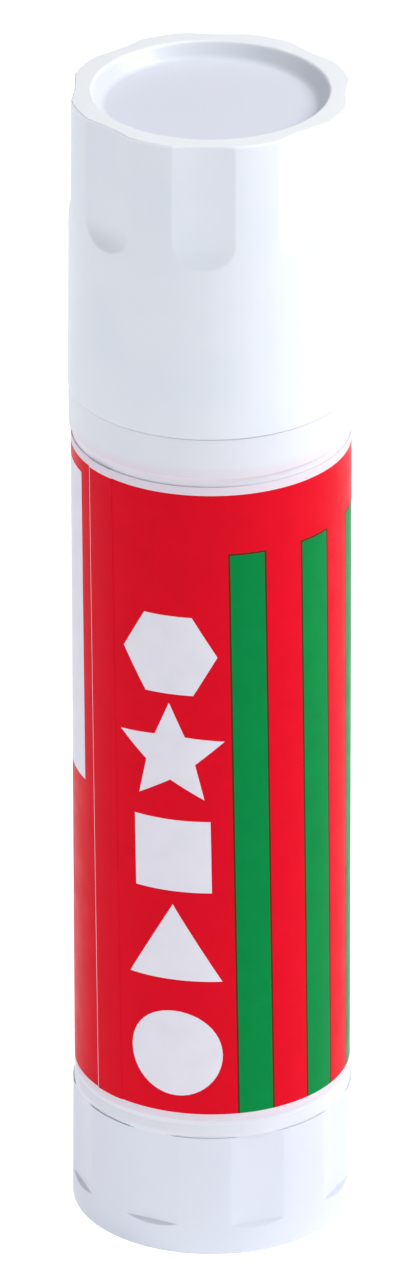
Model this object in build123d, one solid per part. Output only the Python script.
from build123d import *
import math
import os

# A push-on glue stick, standing on its winding knob. Millimetres, +Z up, origin at the middle of
# the face it stands on. A left-hand lift screw in the knob raises a threaded carrier, which two
# keys in the barrel's bore stop from turning, so the glue comes up without spinning.

# Gaps and clearances
face_gap = 0.05  # between end faces that meet
running_clearance = 0.08  # radial, knob skirt in the barrel's foot
snap_clearance = 0.1  # round the knob's snap bead
push_clearance = 0.05  # cap bore over the neck's bead
slide_clearance = 0.15  # carrier in the bore and round the keys
thread_clearance = 0.12  # lift screw in the carrier's thread
drive_clearance = 0.03  # spindle root in the knob's hub
glue_clearance = 0.15  # glue in the bore
glue_seat = 0.05  # glue on the carrier
overrun = 1.0  # how far a cutter passes the face that it cuts

# Barrel, whose label sets the stick's radius
label_radius = 12.5
barrel_wall = 1.95
foot_height = 0.8
foot_step = 0.12
panel_length = 64.7
collar_height = 3.8
collar_step = 0.18
neck_height = 13.4
neck_wall = 0.9
neck_lead_in = 0.35
neck_bead_stand = 0.15
neck_bead_height = 1.2
neck_bead_level = 5.0  # above the shoulder
socket_wall = 1.3  # round the wide mouth in the foot that takes the knob's skirt
socket_spare = 0.25  # above the skirt's end
key_count = 2
key_width = 1.4
key_depth = 0.5
key_setback = 2.0  # below the mouth

# Label film, wound once round with its end lapped over its start
film_thickness = 0.1
film_margin = 0.9
lap_end_angle = -60.5
lap_start_angle = -42.2

# Cap
cap_length = 27.85
cap_stand = 0.15  # past the label, at the cap's lower edge
cap_taper = 0.3
cap_upper_wall = 1.45
cap_rim_width = 1.9
cap_rim_chamfer = 0.3
cap_recess_depth = 1.2
cap_ceiling = 1.2
cap_flute_count = 8
cap_flute_turn = -3.0
cap_flute_depth = 0.55
cap_flute_length = 11.7  # from the rim to the flute's round end
cap_flute_rise = 2.4  # height of the round end
scallop_radius = 16.0  # of every flute's hollow, cap and knob

# Knob
knob_height = 11.75
knob_stand = 0.12  # past the label
knob_wall = 1.4
knob_deck = 1.6
knob_flute_count = 8
knob_flute_turn = 19.0
knob_flute_depth = 0.45
knob_flute_level = 2.9
skirt_height = 5.0
skirt_wall = 1.1
skirt_bead_stand = 0.3
skirt_bead_height = 0.9
skirt_bead_level = 2.9  # above the deck
hub_wall = 1.5
hub_setback = 2.4  # hub and ribs above the table
hub_floor = 1.0
knob_rib_count = 4
knob_rib_thickness = 0.9

# Spindle
lead = 8.5
lift_turns = 7.5  # from stop to stop
core_radius = 2.7
ridge_height = 0.55
ridge_crest_width = 1.0
ridge_root_width = 2.0
ridge_sink = 0.2  # how deep the ridge is let into the core
sweeps_per_turn = 2
drive_flats = 5.4
flange_radius = 6.0
flange_thickness = 1.2
thread_setback = 3.0  # thread above the flange
tip_chamfer = 0.7

# Carrier
carrier_rest = 0.75  # above the knob's skirt when wound right down
carrier_height = 9.0
carrier_floor = 1.2
carrier_wall = 0.95
lip_stand = 0.12
lip_height = 0.9
carrier_hub_height = 7.0
carrier_hub_wall = 1.6
fin_count = 4
fin_thickness = 1.0
fin_height = 3.2

# Glue
glue_setback = 1.0  # below the mouth
glue_cover = 2.0  # over the spindle's tip
glue_chamfer = 0.6
glue_hole_clearance = 0.2

# Levels that follow
barrel_bottom = knob_height + face_gap
panel_bottom = barrel_bottom + foot_height
panel_top = panel_bottom + panel_length
shoulder = panel_top + collar_height
neck_top = shoulder + neck_height
cap_bottom = shoulder + face_gap
cap_top = cap_bottom + cap_length
skirt_top = knob_height + skirt_height
socket_top = skirt_top + socket_spare
flange_top = knob_height + face_gap + flange_thickness
thread_bottom = flange_top + thread_setback
carrier_level = skirt_top + carrier_rest
carrier_floor_top = carrier_level + carrier_floor
carrier_top = carrier_level + carrier_height
glue_top = neck_top - glue_setback
spindle_top = glue_top - glue_cover
thread_top = spindle_top - tip_chamfer - ridge_root_width / 2 - ridge_sink
travel = lead * lift_turns

# Radii that follow
panel_radius = label_radius - film_thickness
bore_radius = panel_radius - barrel_wall
socket_radius = panel_radius - socket_wall
neck_radius = bore_radius + neck_wall
neck_bead_radius = neck_radius + neck_bead_stand
cap_bore_radius = neck_bead_radius + push_clearance
cap_base_radius = label_radius + cap_stand
cap_top_radius = cap_base_radius - cap_taper
cap_upper_bore_radius = cap_top_radius - cap_upper_wall
recess_radius = cap_top_radius - cap_rim_width
knob_radius = label_radius + knob_stand
skirt_radius = socket_radius - running_clearance
skirt_bead_radius = skirt_radius + skirt_bead_stand
ridge_radius = core_radius + ridge_height
key_radius = bore_radius - key_depth
lip_radius = bore_radius - slide_clearance
carrier_radius = lip_radius - lip_stand
carrier_hub_radius = ridge_radius + thread_clearance + carrier_hub_wall
glue_radius = bore_radius - glue_clearance
hub_radius = drive_flats / (2 * math.cos(math.pi / 6)) + hub_wall


def turned(outline):
    """Revolve a closed outline of (radius, height) points about the Z axis."""
    return revolve(make_face(Plane.XZ * Polyline(*outline, close=True)), Axis.Z)


def ring(outer, inner, bottom, top):
    """A plain ring, or a disc where inner is zero."""
    return turned([(inner, bottom), (outer, bottom), (outer, top), (inner, top)])


def from_front(angle):
    """Turn from the front of the stick, -Y, towards +X by an angle in degrees."""
    return Rot(0, 0, angle - 90)


def round_pattern(piece, count, first_angle=0):
    """Copies of a piece drawn on +X, spaced evenly round the axis from an angle off the front."""
    return [from_front(first_angle + 360 * i / count) * piece for i in range(count)]


def radial_block(inner, outer, width, bottom, top):
    """A block on +X from one radius to another."""
    size = ((inner + outer) / 2, 0, (bottom + top) / 2)
    return Pos(*size) * Box(outer - inner, width, top - bottom)


def scallop(depth, height, end_rise):
    """Cutter for one flute that runs up from z = 0, its floor depth behind x = 0. With an end rise
    the floor climbs out of the wall over that height, which rounds the flute's lower end."""
    disc = Circle(scallop_radius)
    cutter = Pos(scallop_radius - depth, 0, 0) * extrude(disc, amount=height)
    if end_rise:
        tilt = math.atan(depth / end_rise)
        pivot = end_rise + scallop_radius * math.tan(tilt / 2)
        end = Rot(0, -math.degrees(tilt), 0) * extrude(disc, amount=height, both=True)
        cutter &= Pos(scallop_radius - depth, 0, pivot) * end
    return cutter


def screw_ridge(bottom, top, clearance):
    """The lift screw's left-hand ridge between two heights, in step with thread_bottom. It is a
    list of short sweeps end to end, which join and cut more surely than one long sweep."""
    sink_radius = core_radius - ridge_sink
    rise = (ridge_root_width - ridge_crest_width) / (2 * ridge_height)
    half_crest = ridge_crest_width / 2 + clearance
    half_root = ridge_root_width / 2 + clearance + rise * ridge_sink
    crest_radius = ridge_radius + clearance
    section = Polyline(
        (sink_radius, -half_root),
        (crest_radius, -half_crest),
        (crest_radius, half_crest),
        (sink_radius, half_root),
        close=True,
    )
    profile = make_face(Plane.XZ * section)
    count = math.ceil((top - bottom) / lead * sweeps_per_turn)
    step = (top - bottom) / count
    path = Helix(pitch=lead, height=step, radius=core_radius, lefthand=True)
    stretch = sweep(profile, path=path, is_frenet=True)
    levels = [bottom + step * i for i in range(count)]
    return [Pos(0, 0, z) * Rot(0, 0, 360 * (thread_bottom - z) / lead) * stretch for z in levels]


def make_tube():
    """Barrel, collar and neck, with the panel for the label, the knob's socket and two keys."""
    bead_low = shoulder + neck_bead_level
    bead_high = bead_low + neck_bead_height
    foot_radius = panel_radius + foot_step
    collar_radius = panel_radius + collar_step
    groove_radius = skirt_bead_radius + snap_clearance
    groove_low = knob_height + skirt_bead_level - snap_clearance
    groove_high = groove_low + skirt_bead_height + 2 * snap_clearance
    tube = turned(
        [
            (socket_radius, barrel_bottom),
            (foot_radius, barrel_bottom),
            (foot_radius, panel_bottom),
            (panel_radius, panel_bottom),
            (panel_radius, panel_top),
            (collar_radius, panel_top),
            (collar_radius, shoulder),
            (neck_radius, shoulder),
            (neck_radius, bead_low),
            (neck_bead_radius, (bead_low + bead_high) / 2),
            (neck_radius, bead_high),
            (neck_radius, neck_top - neck_lead_in),
            (neck_radius - neck_lead_in, neck_top),
            (bore_radius, neck_top),
            (bore_radius, socket_top),
            (socket_radius, socket_top),
            (socket_radius, groove_high),
            (groove_radius, groove_low),
            (socket_radius, groove_low),
        ]
    )
    key_bottom = socket_top + face_gap
    key = radial_block(key_radius, bore_radius + neck_wall / 2, key_width, key_bottom, neck_top - key_setback)
    return tube + round_pattern(key, key_count)


def make_label_film():
    """The wound film, with a second layer where its end laps its start."""
    bottom = panel_bottom + film_margin
    top = panel_top - film_margin
    film = ring(label_radius, panel_radius, bottom, top)
    lap = ring(label_radius + film_thickness, label_radius - film_thickness / 2, bottom, top)
    sector = [from_front(lap_end_angle), from_front(lap_start_angle)]
    rays = [(turn * Pos(2 * label_radius, 0, 0)).position for turn in sector]
    wedge = make_face(Polyline((0, 0), (rays[0].X, rays[0].Y), (rays[1].X, rays[1].Y), close=True))
    return film + (lap & Pos(0, 0, bottom) * extrude(wedge, amount=top - bottom))


def make_cap():
    """Tapered cap with a recessed top, round-ended flutes and a ledge that seats on the neck."""
    floor_level = cap_top - cap_recess_depth
    seat = neck_top + face_gap
    cap = turned(
        [
            (0, floor_level),
            (recess_radius, floor_level),
            (recess_radius, cap_top),
            (cap_top_radius - cap_rim_chamfer, cap_top),
            (cap_top_radius, cap_top - cap_rim_chamfer),
            (cap_base_radius, cap_bottom),
            (cap_bore_radius, cap_bottom),
            (cap_bore_radius, seat),
            (cap_upper_bore_radius, seat),
            (cap_upper_bore_radius, floor_level - cap_ceiling),
            (0, floor_level - cap_ceiling),
        ]
    )
    end_level = cap_top - cap_flute_length
    slope = cap_taper / cap_length
    lean = Rot(0, -math.degrees(math.atan(slope)), 0)
    cutter = lean * scallop(cap_flute_depth, cap_flute_length + overrun, cap_flute_rise)
    flute = Pos(cap_top_radius + slope * cap_flute_length, 0, end_level) * cutter
    return cap - round_pattern(flute, cap_flute_count, cap_flute_turn)


def make_knob():
    """Winding knob: fluted wall, ribbed hollow underside, keyed hub and a snap skirt."""
    deck_level = knob_height - knob_deck
    inner_radius = knob_radius - knob_wall
    bead_low = knob_height + skirt_bead_level
    bead_high = bead_low + skirt_bead_height
    shell = turned(
        [
            (0, deck_level),
            (inner_radius, deck_level),
            (inner_radius, 0),
            (knob_radius, 0),
            (knob_radius, knob_height),
            (skirt_radius, knob_height),
            (skirt_radius, bead_low),
            (skirt_bead_radius, bead_low),
            (skirt_radius, bead_high),
            (skirt_radius, skirt_top),
            (skirt_radius - skirt_wall, skirt_top),
            (skirt_radius - skirt_wall, knob_height),
            (0, knob_height),
        ]
    )
    hub = ring(hub_radius, 0, hub_setback, knob_height)
    rib = radial_block(hub_radius / 2, inner_radius + knob_wall / 2, knob_rib_thickness, hub_setback, knob_height)
    flute = Pos(knob_radius, 0, knob_flute_level) * scallop(knob_flute_depth, knob_height, 0)
    socket = RegularPolygon(drive_flats / 2 + drive_clearance, 6, major_radius=False)
    socket_depth = knob_height - hub_setback - hub_floor
    knob = shell + hub + round_pattern(rib, knob_rib_count, knob_flute_turn)
    knob -= round_pattern(flute, knob_flute_count, knob_flute_turn)
    return knob - Pos(0, 0, knob_height - socket_depth) * extrude(socket, amount=socket_depth + overrun)


def make_spindle():
    """The lift screw: hexagonal root, flange, core and one left-hand ridge."""
    root_bottom = hub_setback + hub_floor + face_gap
    root = RegularPolygon(drive_flats / 2, 6, major_radius=False)
    shaft = turned(
        [
            (0, knob_height + face_gap),
            (flange_radius, knob_height + face_gap),
            (flange_radius, flange_top),
            (core_radius, flange_top),
            (core_radius, spindle_top - tip_chamfer),
            (core_radius - tip_chamfer, spindle_top),
            (0, spindle_top),
        ]
    )
    shaft += Pos(0, 0, root_bottom) * extrude(root, amount=knob_height + face_gap - root_bottom)
    return shaft + screw_ridge(thread_bottom, thread_top, 0)


def make_carrier():
    """The threaded cup that lifts the glue, notched for the barrel's keys."""
    inner_radius = carrier_radius - carrier_wall
    high_lip = carrier_top - lip_height
    hub_top = carrier_level + carrier_hub_height
    cup = turned(
        [
            (0, carrier_level),
            (carrier_radius, carrier_level),
            (carrier_radius, high_lip),
            (lip_radius, carrier_top),
            (inner_radius, carrier_top),
            (inner_radius, carrier_floor_top),
            (carrier_hub_radius, carrier_floor_top),
            (carrier_hub_radius, hub_top),
            (0, hub_top),
        ]
    )
    fin_reach = inner_radius + carrier_wall / 2
    fin = radial_block(core_radius * 2, fin_reach, fin_thickness, carrier_level, carrier_floor_top + fin_height)
    cup += round_pattern(fin, fin_count, 180 / fin_count)
    notch_inner = key_radius - slide_clearance
    notch_width = key_width + 2 * slide_clearance
    low_cut = carrier_level - overrun
    notch = radial_block(notch_inner, bore_radius + overrun, notch_width, low_cut, carrier_top + overrun)
    cup -= round_pattern(notch, key_count)
    cup -= ring(core_radius + thread_clearance, 0, low_cut, hub_top + overrun)
    return cup - screw_ridge(carrier_level - lead / 2, hub_top + lead / 2, thread_clearance)


def make_glue():
    """The glue: a stick with a bevelled tip, cast round the spindle and down into the carrier."""
    bottom = carrier_floor_top + glue_seat
    cup_radius = carrier_radius - carrier_wall - glue_seat
    hub_hole = carrier_hub_radius + glue_seat
    hub_hole_top = carrier_level + carrier_hub_height + glue_seat
    spindle_hole = ridge_radius + glue_hole_clearance
    hole_top = spindle_top + glue_hole_clearance
    glue = turned(
        [
            (0, hole_top),
            (spindle_hole, hole_top),
            (spindle_hole, hub_hole_top),
            (hub_hole, hub_hole_top),
            (hub_hole, bottom),
            (cup_radius, bottom),
            (cup_radius, carrier_top + glue_seat),
            (glue_radius, carrier_top + glue_seat),
            (glue_radius, glue_top - glue_chamfer),
            (glue_radius - glue_chamfer, glue_top),
            (0, glue_top),
        ]
    )
    slot_width = fin_thickness + 2 * glue_seat
    slot_top = carrier_floor_top + fin_height + glue_seat
    slot = radial_block(core_radius, glue_radius, slot_width, bottom - overrun, slot_top)
    glue -= round_pattern(slot, fin_count, 180 / fin_count)
    groove_inner = key_radius - glue_clearance
    groove_width = key_width + 2 * glue_clearance
    groove = radial_block(groove_inner, bore_radius + overrun, groove_width, carrier_top, glue_top + overrun)
    return glue - round_pattern(groove, key_count)


def main():
    os.makedirs("parts", exist_ok=True)
    makers = {
        "tube": make_tube,
        "label_film": make_label_film,
        "cap": make_cap,
        "knob": make_knob,
        "spindle": make_spindle,
        "carrier": make_carrier,
        "glue": make_glue,
    }
    for name, make in makers.items():
        export_step(make(), f"parts/{name}.step")
    print("height", round(cap_top, 2), "travel", round(travel, 3), "turns", lift_turns)


main()
